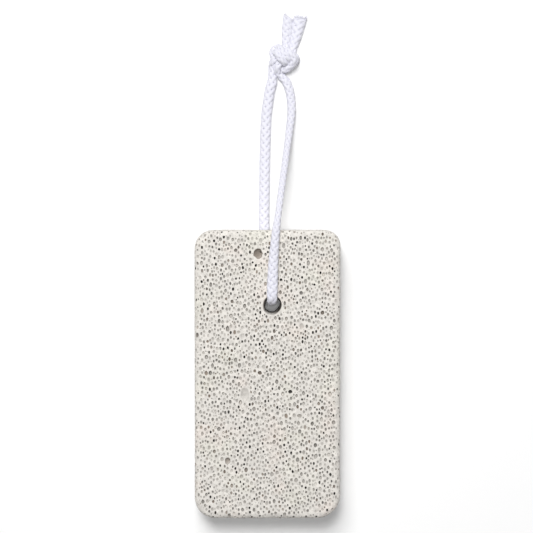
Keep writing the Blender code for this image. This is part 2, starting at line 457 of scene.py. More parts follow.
class Tubes:
    """Collects closed tubes made of rings of points, with two marks for each point."""

    def __init__(self):
        self.vertices, self.faces, self.marks, self.count = [], [], [], 0

    def add(self, rings, marks):
        rows, sides = rings.shape[:2]
        for i in range(rows - 1):
            a, b = self.count + i * sides, self.count + (i + 1) * sides
            for k in range(sides):
                n = (k + 1) % sides
                self.faces.append((a + k, a + n, b + n, b + k))
        self.faces.append(tuple(self.count + k for k in reversed(range(sides))))
        self.faces.append(tuple(self.count + (rows - 1) * sides + k for k in range(sides)))
        self.vertices.append(rings.reshape(-1, 3))
        self.marks.append(marks.reshape(-1, 2))
        self.count += rows * sides


CORD_SEED = 5
ABOVE_FLOOR = 0.02


def make_cord():
    path = cord_centreline()
    surface = CordSurface(path)
    random = np.random.default_rng(CORD_SEED)
    tubes = Tubes()
    for hand in (1, -1):
        for number in range(BRAID_BUNDLES):
            ends = (random.uniform(0.0, 0.25), surface.length - random.uniform(0.0, 0.7))
            tubes.add(*braid_bundle(surface, hand, number, ends))
    tubes.add(*braid_core(surface))
    for tip, count in ((0, LEFT_FILAMENTS), (1, RIGHT_FILAMENTS)):
        for _ in range(count):
            thread = loose_filament(surface, tip, random)
            tubes.add(thread, np.zeros(thread.shape[:2] + (2,)))
    vertices = np.vstack(tubes.vertices)
    vertices[:, 2] = np.maximum(vertices[:, 2], ABOVE_FLOOR)
    piece = new_object("cord", vertices, tubes.faces)
    layer = piece.data.uv_layers.new(name="Fibre")
    loops = np.zeros(len(piece.data.loops), np.int32)
    piece.data.loops.foreach_get("vertex_index", loops)
    layer.data.foreach_set("uv", np.vstack(tubes.marks)[loops].astype(np.float32).ravel())
    return piece, path, surface.length


# ======== the stone's form
ROUND_ARC = pi / 2 * EDGE_ROUNDING


def stone_placement():
    """The stone's thickness, where its own origin is in the world, and its axes there."""
    mounts = {m["name"]: m for m in frame["record"]["mounts"]}
    low = np.array(mounts["underside"]["pos_m"]) / MM
    high = np.array(mounts["top_face"]["pos_m"]) / MM
    thickness = float(np.linalg.norm(high - low))
    up = (high - low) / thickness
    right = np.array((1.0, 0.0, 0.0))
    forward = np.cross(up, right)
    origin = low - forward * MOUNT_Y
    return thickness, origin, np.stack([right, forward, up])


THICKNESS, STONE_ORIGIN, STONE_AXES = stone_placement()
SHEET_REACH = ROUND_ARC + (THICKNESS / 2 - EDGE_ROUNDING)
WALL_BAND = THICKNESS - 2 * EDGE_ROUNDING + 2 * ROUND_ARC


def from_core(x, y):
    """Distance outside the flat part of a face, and the outward direction."""
    top = np.where(x > 0, CORNER_TOP_RIGHT, CORNER_TOP_LEFT)
    bottom = np.where(x > 0, CORNER_BOTTOM_RIGHT, CORNER_BOTTOM_LEFT)
    radius = np.where(y > 0, top, bottom) - EDGE_ROUNDING
    px = np.abs(x) - (STONE_WIDTH / 2 - EDGE_ROUNDING - radius)
    py = np.abs(y) - (STONE_LENGTH / 2 - EDGE_ROUNDING - radius)
    both = (px > 0) & (py > 0)
    reach = np.hypot(np.maximum(px, 0), np.maximum(py, 0))
    distance = np.minimum(np.maximum(px, py), 0) + reach - radius
    nx = np.where(both, px / np.maximum(reach, 1e-9), (px >= py).astype(float)) * np.where(x < 0, -1, 1)
    ny = np.where(both, py / np.maximum(reach, 1e-9), (px < py).astype(float)) * np.where(y < 0, -1, 1)
    return distance, nx, ny, radius, both


def on_stone(x, y, side):
    """Folds a point of a face's unrolled sheet over the edge: its place and normal."""
    distance, nx, ny, _, _ = from_core(x, y)
    d = np.maximum(distance, 0.0)
    bend = np.minimum(d / EDGE_ROUNDING, pi / 2)
    out = EDGE_ROUNDING * np.sin(bend)
    drop = EDGE_ROUNDING * (1 - np.cos(bend)) + np.maximum(d - ROUND_ARC, 0.0)
    height = np.where(side > 0, THICKNESS - drop, drop)
    place = np.stack([x - nx * (d - out), y - ny * (d - out), height], -1)
    normal = np.stack([nx * np.sin(bend), ny * np.sin(bend), np.cos(bend) * side], -1)
    return place, normal


CORNER_STEPS = 120


def rim_table():
    """The wall's outline as a table: length along it, core point and outward direction."""
    half_w, half_l = STONE_WIDTH / 2, STONE_LENGTH / 2
    corners = (
        (1, 1, CORNER_TOP_RIGHT, 0.0), (-1, 1, CORNER_TOP_LEFT, 90.0),
        (-1, -1, CORNER_BOTTOM_LEFT, 180.0), (1, -1, CORNER_BOTTOM_RIGHT, 270.0),
    )
    angles, cores = [], []
    for sx, sy, radius, start in corners:
        centre = np.array((sx * (half_w - radius), sy * (half_l - radius)))
        for a in np.radians(np.linspace(start, start + 90.0, CORNER_STEPS)):
            angles.append(a)
            cores.append(centre + (radius - EDGE_ROUNDING) * np.array((cos(a), sin(a))))
    angles.append(angles[0] + TURN)
    cores.append(cores[0])
    angles, cores = np.array(angles), np.array(cores)
    wall = cores + EDGE_ROUNDING * np.stack([np.cos(angles), np.sin(angles)], 1)
    return arc(wall), cores, angles


RIM_ALONG, RIM_CORE, RIM_ANGLE = rim_table()
RIM_LENGTH = RIM_ALONG[-1]


def on_sheet(s, d):
    """The point of a face's unrolled sheet at length s round the rim and d outside the core."""
    s = np.mod(s, RIM_LENGTH)
    angle = np.interp(s, RIM_ALONG, RIM_ANGLE)
    x = np.interp(s, RIM_ALONG, RIM_CORE[:, 0]) + d * np.cos(angle)
    y = np.interp(s, RIM_ALONG, RIM_CORE[:, 1]) + d * np.sin(angle)
    return x, y


def waves(random, count, reach):
    """A smooth random field of 3-D points, about -1 to 1, with features of the given size."""
    ways = unit(random.normal(size=(count, 3)))
    rates = ways * (TURN / (reach * random.uniform(0.6, 1.6, count)))[:, None]
    phases = random.uniform(0, TURN, count)
    return lambda p: np.sin(p @ rates.T + phases).sum(-1) * sqrt(2.0 / count) * 0.7


# ======== where the pores are
# the larger pores of the front: x, y, width, height, depth, darkness of painted shade, brownness
LARGE_PORES = (
    (-3.18, 41.55, 3.35, 3.73, 1.2, 0.54, 0.75),
    (-7.7, -6.7, 3.08, 4.9, 0.6, 0.24, 0.05),
    (-13.61, -29.48, 1.9, 2.4, 0.8, 0.42, 0.6),
    (-7.32, -32.6, 1.27, 1.75, 0.7, 0.55, 0.6),
    (7.8, -5.74, 1.55, 1.4, 1.1, 0.95, 0.2),
    (10.94, -14.05, 1.7, 1.27, 0.6, 0.4, 0.2),
    (11.73, 16.62, 1.57, 2.05, 0.45, 0.22, 0.2),
    (-8.48, 13.27, 1.37, 1.95, 0.4, 0.22, 0.05),
    (-13.61, 34.1, 1.1, 1.7, 0.45, 0.3, 0.1),
    (18.81, 21.34, 1.37, 1.45, 0.75, 0.6, 0.8),
    (18.81, -11.32, 1.16, 1.37, 0.7, 0.55, 0.7),
    (-22.3, 21.92, 1.16, 1.95, 0.45, 0.35, 0.5),
    (-2.6, 0.72, 1.5, 1.35, 0.8, 0.6, 0.8),
    (11.53, 28.00, 1.27, 1.3, 0.85, 0.7, 0.1),
    (-10.84, 42.61, 1.16, 1.3, 0.8, 0.65, 0.3),
    (4.65, 32.53, 1.00, 0.9, 1.00, 0.97, 0.0),
    (16.04, 30.88, 0.86, 0.8, 1.00, 0.97, 0.0),
    (4.45, 28.3, 0.95, 1.5, 0.7, 0.5, 0.5),
    (-3.01, 26.64, 1.05, 1.15, 0.8, 0.72, 0.1),
    (9.78, -36.18, 1.27, 1.7, 0.6, 0.4, 0.1),
)
LARGE_WIDTH = 2.2
# half the short width of a scattered pore, by the share of pores below it
PORE_SIZES = ((0.0, 0.17), (0.14, 0.26), (0.48, 0.36), (0.89, 0.45), (0.98, 0.52), (1.0, 0.64))
# share of pores up to this kind, depth against radius, darkness of painted shade: grazed, open and deep
PORE_KINDS = (
    (0.54, (0.6, 1.0), (0.28, 0.6)),
    (0.86, (1.0, 1.5), (0.5, 0.82)),
    (1.00, (1.5, 2.1), (0.9, 0.99)),
)
DEEPEST_PORE = 1.2
# pores wider than this get less painted shade, at most a value drawn from this range
PALER_FROM = 0.42
PALER_DARKNESS = (0.2, 0.65)
BROWN_SHARE = 0.12
# the radius from which a pore gets one bowl ring, and two: front, elsewhere
ONE_RING_FROM = (0.25, 0.4)
TWO_RINGS_FROM = (0.48, 0.54)
ROUNDEST = 1.15
ELONGATION = 1.62
LAND_GAP = 0.085
# pores tried for each square millimetre
DENSITY = {"front": 0.6, "back": 0.42, "wall": 0.42}
THROWS = 30
CROWD_SIZE = 9.0
CROWD_BASE = 0.82
CROWD_SWAY = 0.35
SEAM_MARGIN = 0.5
SEAM_WIDEST = 0.3
HOLE_CLEAR = 3.75
# a cell of a grid and the ones beside it
NEXT = (-1, 0, 1)


class Crowd:
    """The pores placed so far, in a space squeezed along the stone so that each is round."""

    squeeze = np.array((1.0, 1.0 / ELONGATION, 1.0))
    cell = 1.6

    def __init__(self):
        self.large, self.grid = [], {}

    def clear(self, q, r):
        """Takes the spot for a pore of radius r, unless it comes too near another."""
        key = tuple(int(c // self.cell) for c in q)
        i, j, k = key
        near = [(i + a, j + b, k + c) for a in NEXT for b in NEXT for c in NEXT]
        others = self.large + [other for n in near for other in self.grid.get(n, ())]
        for spot, reach in others:
            gap = reach + r + LAND_GAP
            if (q[0] - spot[0]) ** 2 + (q[1] - spot[1]) ** 2 + (q[2] - spot[2]) ** 2 < gap * gap:
                return False
        self.grid.setdefault(key, []).append((q, r))
        return True


def throw_spot(random, region, r):
    """A random spot of the skin for a pore, or None where it may not lie."""
    if region == "wall":
        s, v = random.uniform(0, RIM_LENGTH), random.uniform(0, WALL_BAND)
        side = 1 if v < WALL_BAND / 2 else -1
        x, y = on_sheet(s, v if side > 0 else WALL_BAND - v)
        on_seam = abs(v - WALL_BAND / 2) < SEAM_MARGIN and r > SEAM_WIDEST
        return None if on_seam else (float(x), float(y), side)
    x = random.uniform(-STONE_WIDTH / 2, STONE_WIDTH / 2)
    y = random.uniform(-STONE_LENGTH / 2, STONE_LENGTH / 2)
    if from_core(np.array(x), np.array(y))[0] > 0:
        return None
    if hypot(x - HOLE_X, y - HOLE_Y) < HOLE_CLEAR + r:
        return None
    return x, y, 1 if region == "front" else -1


def pore_look(random, r, front):
    """What a scattered pore is like: its depth, painted shade, brown, stretch and number of rings."""
    kind = random.random()
    _, depths, darks = next(row for row in PORE_KINDS if kind < row[0])
    depth, dark = random.uniform(*depths), random.uniform(*darks)
    if r > PALER_FROM:
        dark = min(dark, random.uniform(*PALER_DARKNESS))
    brown = random.uniform(0.3, 1.0) if random.random() < BROWN_SHARE else random.uniform(0, 0.15)
    place = 0 if front else 1
    rings = 0 if r < ONE_RING_FROM[place] else 1
    if r > TWO_RINGS_FROM[place]:
        rings = 2
    return {"long": random.uniform(ROUNDEST, ELONGATION), "depth": min(r * depth, DEEPEST_PORE),
            "dark": dark, "brown": brown, "rings": rings}


def large_pores(crowd):
    """The chosen pores, each laid before the scattered ones."""
    pores = []
    for x, y, w, h, depth, dark, brown in LARGE_PORES:
        place, _ = on_stone(np.array([x]), np.array([y]), 1)
        crowd.large.append((tuple(place[0] * Crowd.squeeze), max(w, h / ELONGATION) / 2))
        rings = 3 if max(w, h) > LARGE_WIDTH else 2
        pores.append({"x": x, "y": y, "side": 1, "r": w / 2, "long": h / w, "depth": depth,
                      "dark": dark, "brown": brown, "rings": rings})
    return pores


def scatter_pores(random):
    """Throws pores onto the whole skin, largest first, each clear of the ones before."""
    density = waves(random, 12, CROWD_SIZE)
    crowd = Crowd()
    pores = large_pores(crowd)
    for region in DENSITY:
        area = RIM_LENGTH * WALL_BAND if region == "wall" else STONE_WIDTH * STONE_LENGTH
        shares = random.random(int(area * DENSITY[region]))
        radii = np.sort(look_up(shares, PORE_SIZES))[::-1]
        for r in radii.tolist():
            for _ in range(THROWS):
                spot = throw_spot(random, region, r)
                if spot is None:
                    continue
                x, y, side = spot
                place = on_stone(np.array([x]), np.array([y]), side)[0][0]
                if random.random() > CROWD_BASE + CROWD_SWAY * float(density(place)):
                    continue
                if crowd.clear(tuple(place * Crowd.squeeze), r):
                    look = pore_look(random, r, region == "front")
                    pores.append({"x": x, "y": y, "side": side, "r": r, **look})
                    break
    return {k: np.array([pore[k] for pore in pores]) for k in pores[0]}


# ======== the skin
RIM_SIDES = {0: 6, 1: 8, 2: 10, 3: 18}
# the rings of a pore's bowl: width against the rim's, and depth against the pore's
RING_PLAN = {
    0: ((0.0, 1.0),),
    1: ((0.58, 0.9),),
    2: ((0.8, 0.5), (0.48, 0.92)),
    3: ((0.88, 0.38), (0.66, 0.7), (0.36, 0.93)),
}
# painted shade at a pore's rim and on its upper rings, as shares of its darkness; black pores are painted
# dark up to the rim
RIM_SHADE = 0.5
BLACK_FROM = 0.8
BLACK_RIM_SHADE = 0.88
BOWL_SHADE = 0.8
RIM_JITTER = (0.87, 1.09)
RIM_SWAY = 0.16


class SkinBuilder:
    """Collects the stone's vertices, its faces and, at each face corner, its painted shade and brown."""

    def __init__(self):
        self.points, self.count = [], 0
        self.faces, self.shade, self.brown = [], [], []

    def add_points(self, points):
        """Numbers of the new vertices, in the shape of the array they came in."""
        flat = np.asarray(points).reshape(-1, 3)
        ids = self.count + np.arange(len(flat))
        self.points.append(flat)
        self.count += len(flat)
        return ids.reshape(np.shape(points)[:-1])

    def add_faces(self, faces, shade, brown):
        """faces, shade: one row per face; brown: one value per face."""
        self.faces += faces.tolist()
        self.shade += shade.ravel().tolist()
        self.brown += np.repeat(brown, faces.shape[1]).tolist()

    def add_outward(self, faces, side, shade, brown):
        """The same, with the faces of the back turned so that they too look outward."""
        back = side < 0
        faces[back] = faces[back, ::-1]
        shade[back] = shade[back, ::-1]
        self.add_faces(faces, shade, brown)


def pore_rims(table, random):
    """Each rim's offsets from its pore's middle, in the sheet, all with as many sides."""
    sides, count = RIM_SIDES[int(table["rings"][0])], len(table["x"])
    distance, nx, ny, radius, both = from_core(table["x"], table["y"])
    d = np.maximum(distance, 0)
    bend = np.minimum(d / EDGE_ROUNDING, pi / 2)
    stretch = np.where(both, (radius + d) / (radius + EDGE_ROUNDING * np.sin(bend)), 1.0)
    out = np.stack([nx, ny], 1)
    tangent = np.stack([-ny, nx], 1)
    grain = np.stack([out[:, 1] * np.cos(bend), tangent[:, 1]], 1)
    strength = np.linalg.norm(grain, axis=1)
    grain = grain / np.maximum(strength, 1e-6)[:, None]
    extra = (table["long"] - 1.0) * strength ** 2
    turn = (np.arange(sides) + random.uniform(-RIM_SWAY, RIM_SWAY, (count, sides))) * TURN / sides
    turn = turn + random.uniform(0, TURN, (count, 1))
    reach = table["r"][:, None] * random.uniform(*RIM_JITTER, (count, sides))
    flat = np.stack([np.cos(turn) * reach, np.sin(turn) * reach], -1)
    flat = flat + (extra[:, None] * (flat * grain[:, None]).sum(-1))[..., None] * grain[:, None]
    return flat[..., :1] * out[:, None] + flat[..., 1:] / stretch[:, None, None] * tangent[:, None]


# painted shadow on a wide bowl's upper left, and a painted black pit standing for a deeper hole in it
BOWL_SHADOW_TOWARD_DEG = 125.0
PIT_TOWARD_DEG = 27.0
PIT_HALF_DEG = 15.0
PIT_SHADE = 0.97
PIT_FROM = 0.3


def bowl_shade(shade, sheet, reach, step, dark):
    """The widest bowls get painted shadow on their upper left, and the deepest a painted black pit."""
    turn = np.arctan2(sheet[..., 1], sheet[..., 0])
    shade = shade * (0.85 + 0.4 * reach * np.cos(turn - radians(BOWL_SHADOW_TOWARD_DEG)))
    if step == 1:
        pit = np.abs(turn - radians(PIT_TOWARD_DEG)) < radians(PIT_HALF_DEG)
        shade = np.where(pit & (dark[:, None] > PIT_FROM), PIT_SHADE, shade)
    return shade


def bowl_ring(table, sheet, reach, fall, random):
    """One ring of every bowl, flat in its pore's own plane."""
    x, y, side = (table[k][:, None] for k in ("x", "y", "side"))
    centre, normal = on_stone(table["x"], table["y"], table["side"])
    wobble = 1 + random.uniform(-0.1, 0.1, sheet.shape[:2])
    ring, _ = on_stone(x + sheet[..., 0] * reach * wobble, y + sheet[..., 1] * reach * wobble, side)
    flatten = ((ring - centre[:, None]) * normal[:, None]).sum(-1, keepdims=True)
    ring = ring - normal[:, None] * flatten
    uneven = random.uniform(0.9, 1.1, sheet.shape[:2] + (1,))
    return ring - normal[:, None] * (table["depth"] * fall)[:, None, None] * uneven


def build_bowls(builder, table, sheet, rim_ids, random):
    """The bowls of pores that all have as many rings, from their rims down."""
    side, dark, brown = table["side"], table["dark"], table["brown"]
    rings, sides = int(table["rings"][0]), sheet.shape[1]
    above = rim_ids
    to_rim = np.where(dark > BLACK_FROM, BLACK_RIM_SHADE, RIM_SHADE)
    above_shade = np.repeat((to_rim * dark)[:, None], sides, 1)
    for step, (reach, fall) in enumerate(RING_PLAN[rings]):
        last = step == len(RING_PLAN[rings]) - 1
        shade = np.repeat(dark[:, None], sides, 1) * (1.0 if last else BOWL_SHADE)
        if rings == 3:
            shade = bowl_shade(shade, sheet, reach, step, dark)
        if reach == 0.0:
            centre, normal = on_stone(table["x"], table["y"], side)
            below = builder.add_points(centre - normal * table["depth"][:, None])
        else:
            below = builder.add_points(bowl_ring(table, sheet, reach, fall, random))
        for k in range(sides):
            n = (k + 1) % sides
            face, corner = [above[:, k], above[:, n]], [above_shade[:, k], above_shade[:, n]]
            if reach == 0.0:
                face, corner = face + [below], corner + [shade[:, k]]
            else:
                face, corner = face + [below[:, n], below[:, k]], corner + [shade[:, n], shade[:, k]]
            builder.add_outward(np.stack(face, 1), side, np.stack(corner, 1), brown)
        above, above_shade = below, shade
    if reach > 0.0:
        builder.add_outward(above.copy(), side, shade, brown)


def build_pores(builder, table, random, roughness):
    """Every pore's bowl. Returns each face's rim loops for the land between them."""
    loops = {1: [], -1: []}
    for rings in RING_PLAN:
        group = {k: v[table["rings"] == rings] for k, v in table.items()}
        sheet = pore_rims(group, random)
        side = group["side"][:, None]
        rim_x, rim_y = group["x"][:, None] + sheet[..., 0], group["y"][:, None] + sheet[..., 1]
        rim, normal = on_stone(rim_x, rim_y, side)
        ids = builder.add_points(rim - normal * roughness(rim)[..., None])
        for k, own_side in enumerate(group["side"].tolist()):
            loops[own_side].append((ids[k], rim_x[k], rim_y[k]))
        build_bowls(builder, group, sheet, ids, random)
    return loops


SEAM_STEP = 0.5
SEAM_SWAY = 0.55
SEAM_EDGE = 1.0
SEAM_WAVES = ((9, 0.4), (17, 1.1), (31, 2.0), (53, 0.9))


def seam_heights(table):
    """The height of the line round the wall where the two sheets meet, between the pores."""
    count = int(RIM_LENGTH / SEAM_STEP)
    s = np.arange(count) * RIM_LENGTH / count
    sway = sum(cos(p) * np.sin(TURN * s * k / RIM_LENGTH + 7 * p) for k, p in SEAM_WAVES)
    low, high = np.full(count, SEAM_EDGE), np.full(count, THICKNESS - SEAM_EDGE)
    near = np.where(from_core(table["x"], table["y"])[0] > SHEET_REACH - 3.5)[0]
    place, _ = on_stone(table["x"], table["y"], table["side"])
    keep = np.ones(len(table["x"]), bool)
    for i, pore_s in zip(near, nearest_rim(table["x"][near], table["y"][near])):
        reach = table["r"][i] * ELONGATION * 1.15 + 0.1
        gap = np.abs(s - pore_s)
        under = np.minimum(gap, RIM_LENGTH - gap) < reach + SEAM_STEP
        above = table["side"][i] > 0
        limit = place[i][2] - reach if above else place[i][2] + reach
        if np.any(low[under] > limit - 0.02 if above else high[under] < limit + 0.02):
            keep[i] = False
        elif above:
            high[under] = np.minimum(high[under], limit)
        else:
            low[under] = np.maximum(low[under], limit)
    return s, np.clip(THICKNESS / 2 + SEAM_SWAY * sway, low, high), keep


def nearest_rim(x, y):
    """Length along the rim of the wall point nearest each sheet point."""
    fine = np.linspace(0, RIM_LENGTH, 6000, endpoint=False)
    fx, fy = on_sheet(fine, ROUND_ARC)
    distance, nx, ny, _, _ = from_core(x, y)
    reach = np.maximum(distance, 0)
    px, py = x - nx * (reach - ROUND_ARC), y - ny * (reach - ROUND_ARC)
    return [fine[int(np.argmin((fx - a) ** 2 + (fy - b) ** 2))] for a, b in zip(px, py)]


FILL_CELL = 0.8
FILL_GAP = 0.28
FILL_EDGE = 2.6
FILL_MARGIN = 9.0
FILL_DENSITY = {1: 1.3, -1: 0.9}
WIDE_RIM = 9


def fill_land(side, random, loops):
    """Loose points on the land between pores, so that it isn't drawn in long slivers."""
    grid, wide = {}, []
    for _, rx, ry in loops:
        cx, cy = rx.mean(), ry.mean()
        reach = hypot(rx[0] - cx, ry[0] - cy)
        grid.setdefault((int(cx // FILL_CELL), int(cy // FILL_CELL)), []).append((cx, cy, reach))
        if len(rx) > WIDE_RIM:
            wide.append((cx, cy, np.hypot(rx - cx, ry - cy).max()))
    half_w, half_l = STONE_WIDTH / 2 + FILL_MARGIN, STONE_LENGTH / 2 + FILL_MARGIN
    tries = int(4 * half_w * half_l * FILL_DENSITY[side])
    xs, ys = random.uniform(-half_w, half_w, tries), random.uniform(-half_l, half_l, tries)
    found = []
    for x, y, d in zip(xs, ys, from_core(xs, ys)[0]):
        if d > SHEET_REACH - FILL_EDGE:
            continue
        if hypot(x - HOLE_X, y - HOLE_Y) < HOLE_CLEAR + 0.2:
            continue
        if any(hypot(x - wx, y - wy) < reach + 0.2 for wx, wy, reach in wide):
            continue
        gx, gy = int(x // FILL_CELL), int(y // FILL_CELL)
        near = [(gx + a, gy + b) for a in NEXT for b in NEXT]
        others = [other for key in near for other in grid.get(key, ())]
        if all((x - cx) ** 2 + (y - cy) ** 2 >= (reach * ELONGATION + FILL_GAP) ** 2
               for cx, cy, reach in others):
            grid.setdefault((gx, gy), []).append((x, y, 0.0))
            found.append((x, y))
    return np.array(found)


def in_ring(ring, spot):
    """Whether a spot lies inside a closed ring."""
    ax, ay = ring[:, 0] - spot[0], ring[:, 1] - spot[1]
    bx, by = np.roll(ax, -1), np.roll(ay, -1)
    turn = np.arctan2(ax * by - ay * bx, ax * bx + ay * by).sum()
    return abs(turn) > pi


def triangulate(spots, rings):
    """Triangles over the spots that keep to the rings, as rows of three spot numbers."""
    edges = []
    for ring in rings:
        edges += list(zip(ring.tolist(), np.roll(ring, -1).tolist()))
    found = delaunay_2d_cdt([Vector(p) for p in spots.tolist()], edges, [], 1, 1e-7)
    source = np.array([origin[0] for origin in found[3]])
    return source[np.array(found[2])]


def lay_land(builder, side, loops, seam, mouth, random, roughness):
    """Triangles between the seam, the hole's mouth, the pore rims and the loose points."""
    fill = fill_land(side, random, loops)
    place, normal = on_stone(fill[:, 0], fill[:, 1], np.full(len(fill), side))
    fill_ids = builder.add_points(place - normal * roughness(place)[:, None])
    rims = [(rim, np.stack([rx, ry], 1)) for rim, rx, ry in loops]
    parts = [seam, mouth, (fill_ids, fill)] + rims
    ids, spots = np.concatenate([p[0] for p in parts]), np.vstack([p[1] for p in parts])
    # the ring that each spot is on: 0 for the mouth, -1 for none that is to be left open
    owners = [-1, 0, -1] + list(range(1, len(rims) + 1))
    owner = np.repeat(owners, [len(p[0]) for p in parts])
    starts = np.cumsum([0] + [len(p[0]) for p in parts])
    rings = [np.arange(len(p[0])) + start for p, start in zip(parts, starts)]
    del rings[2]
    triangles = triangulate(spots, rings)
    own = owner[triangles]
    inside = (own[:, 0] == own[:, 1]) & (own[:, 1] == own[:, 2]) & (own[:, 0] >= 0)
    wide = np.isin(own[:, 0], np.where(np.bincount(owner + 1) > WIDE_RIM)[0] - 1)
    for row in np.where(inside & wide)[0]:
        inside[row] = in_ring(spots[owner == own[row, 0]], spots[triangles[row]].mean(0))
    triangles = triangles[~inside]
    a, b, c = (spots[triangles[:, k]] for k in range(3))
    area = (b[:, 0] - a[:, 0]) * (c[:, 1] - a[:, 1]) - (b[:, 1] - a[:, 1]) * (c[:, 0] - a[:, 0])
    wrong = area * side < 0
    triangles[wrong] = triangles[wrong, ::-1]
    faces = ids[triangles]
    builder.add_faces(faces, np.zeros(faces.shape), np.zeros(len(faces)))


MOUTH_SIDES = 56
MOUTH_HEIGHTS = (0.05, 0.13, 0.35)
WALL_RINGS = 18
WALL_FROM = 0.8
# the side of the wall painted in shadow, and how far it stands in, most of all at the ledge
SHADOW_SIDE_TOWARD_DEG = 69.0
SHADOW_SIDE_HALF_DEG = 138.0
SHADOW_SIDE_LEDGE = 0.42
LEDGE_TOWARD_DEG = 168.0
LEDGE_EXTRA = 0.36
FADE = radians(30.0)
# the worn mouth: its depth and flare away from the side painted in shadow, and how much less on that side
WORN_DEPTH = (1.5, 1.0)
FLARE = (0.55, 0.35)
WALL_ROUGHNESS = 0.08
# painted shade on the hole's wall: a faint base everywhere, and painted shadow on one side
WALL_BASE_PAINTED_SHADE = 0.02
WALL_PAINTED_SHADOW = 0.92


def hole_ring(z, turn, painted_shadow_side, ledge, rough, worn):
    """The hole's outline at one height of the stone."""
    edge = min(z, THICKNESS - z)
    worn_part = np.maximum(0.0, 1 - edge / (WORN_DEPTH[0] - WORN_DEPTH[1] * painted_shadow_side))
    flare = (FLARE[0] - FLARE[1] * painted_shadow_side) * worn_part ** 1.6
    level = np.full(MOUTH_SIDES, z)
    spot = np.stack([np.cos(turn) * 3, np.sin(turn) * 3, level], 1)
    radius = HOLE_RADIUS + flare * (0.55 + 0.45 * (0.5 + 0.5 * worn(spot)))
    if edge > 0.2:
        radius = radius + WALL_ROUGHNESS * np.abs(rough(spot)) * min(edge / WALL_FROM, 1.0)
    radius = radius - ledge * painted_shadow_side * np.clip((edge - 0.08) / 0.6, 0, 1)
    return np.stack([HOLE_X + np.cos(turn) * radius, HOLE_Y + np.sin(turn) * radius, level], 1)


def build_hole(builder, random):
    """The drilled hole: its worn mouths, its rough wall and the painted shadow on one side of it."""
    turn = np.arange(MOUTH_SIDES) * TURN / MOUTH_SIDES
    rough, worn = waves(random, 14, 1.5), waves(random, 8, 6.0)
    mouth = np.array(MOUTH_HEIGHTS)
    wall = np.linspace(WALL_FROM, THICKNESS - WALL_FROM, WALL_RINGS)
    heights = np.concatenate([mouth, wall, THICKNESS - mouth[::-1]])
    off = angle_off(turn, SHADOW_SIDE_TOWARD_DEG)
    painted_shadow_side = np.clip((radians(SHADOW_SIDE_HALF_DEG) - off) / FADE + 0.5, 0, 1)
    ledge = SHADOW_SIDE_LEDGE + LEDGE_EXTRA * np.clip(1.5 - angle_off(turn, LEDGE_TOWARD_DEG) / FADE, 0, 1)
    rings = np.array([hole_ring(z, turn, painted_shadow_side, ledge, rough, worn) for z in heights])
    ids = builder.add_points(rings)
    for i in range(len(heights) - 1):
        face = np.stack([ids[i], ids[i + 1], np.roll(ids[i + 1], -1), np.roll(ids[i], -1)], 1)
        edge = np.minimum(heights[i:i + 2], THICKNESS - heights[i:i + 2])
        near_mouth = np.clip((edge - 0.08) / 0.2, 0, 1) * np.clip((6.0 - edge) / 3.0, 0.15, 1)
        painted_shadow_corners = np.stack([painted_shadow_side, painted_shadow_side, np.roll(painted_shadow_side, -1), np.roll(painted_shadow_side, -1)], 1)
        # painted shadow on one side of the wall, strongest near the mouths, tinted brown
        shade = WALL_BASE_PAINTED_SHADE + WALL_PAINTED_SHADOW * painted_shadow_corners * near_mouth[[0, 1, 1, 0]][None, :]
        builder.add_faces(face, shade, 0.5 * painted_shadow_side)
    return (ids[0], rings[0][:, :2]), (ids[-1], rings[-1][:, :2])


STONE_SEED = 20
SHARP_DEG = 42.0


def make_stone():
    random = np.random.default_rng(STONE_SEED)
    fine, broad = waves(random, 16, 1.1), waves(random, 12, 14.0)

    def roughness(p):
        return np.maximum(0.04 + 0.03 * fine(p) + 0.07 * (0.5 + 0.5 * broad(p)), 0.0)

    table = scatter_pores(random)
    seam_s, seam_z, keep = seam_heights(table)
    table = {k: v[keep] for k, v in table.items()}
    builder = SkinBuilder()
    loops = build_pores(builder, table, random, roughness)
    low_mouth, high_mouth = build_hole(builder, random)
    front_xy = np.stack(on_sheet(seam_s, ROUND_ARC + THICKNESS - EDGE_ROUNDING - seam_z), 1)
    back_xy = np.stack(on_sheet(seam_s, ROUND_ARC + seam_z - EDGE_ROUNDING), 1)
    seam, normal = on_stone(front_xy[:, 0], front_xy[:, 1], np.ones(len(front_xy)))
    seam_ids = builder.add_points(seam - normal * roughness(seam)[:, None])
    lay_land(builder, 1, loops[1], (seam_ids, front_xy), high_mouth, random, roughness)
    lay_land(builder, -1, loops[-1], (seam_ids, back_xy), low_mouth, random, roughness)
    points = np.vstack(builder.points) @ STONE_AXES + STONE_ORIGIN
    piece = new_object("pumice_stone", points, builder.faces)
    piece.data.set_sharp_from_angle(angle=radians(SHARP_DEG))
    # painted shade and brown at each face corner
    for name, values in (("painted_shade", builder.shade), ("brown", builder.brown)):
        layer = piece.data.attributes.new(name, "FLOAT", "CORNER")
        layer.data.foreach_set("value", np.array(values, np.float32))
    return piece


